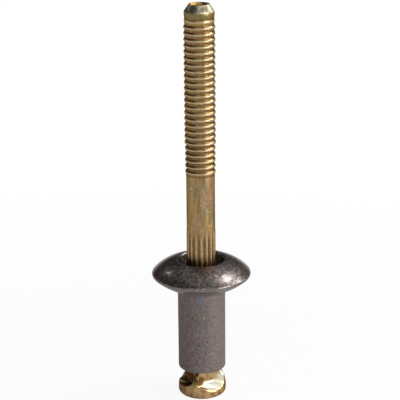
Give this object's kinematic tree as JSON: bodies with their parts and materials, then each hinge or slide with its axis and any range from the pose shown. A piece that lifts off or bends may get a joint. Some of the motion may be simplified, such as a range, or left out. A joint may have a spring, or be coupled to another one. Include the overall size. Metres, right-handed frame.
{
  "type": "pop rivet",
  "caption": "Unset structural blind rivet: a domed steel body on a plated mandrel with pull grooves, splines and a scooped head.",
  "frame": {"origin": "centre of the mandrel head's flat foot, at the bottom of the rivet", "axes": "+Z along the rivet's axis, from the mandrel head to the pulling tip"},
  "size_m": [0.0132, 0.0132, 0.0539],
  "materials": {
    "body_steel": "dark phosphate-grey steel, finely speckled, a soft sheen on the dome",
    "plated_steel": "yellow zinc plate, satin along the shank and bright on the head"
  },
  "bodies": {
    "root": {"rivet_body": "body_steel", "mandrel": "plated_steel"}
  },
  "joints": []
}
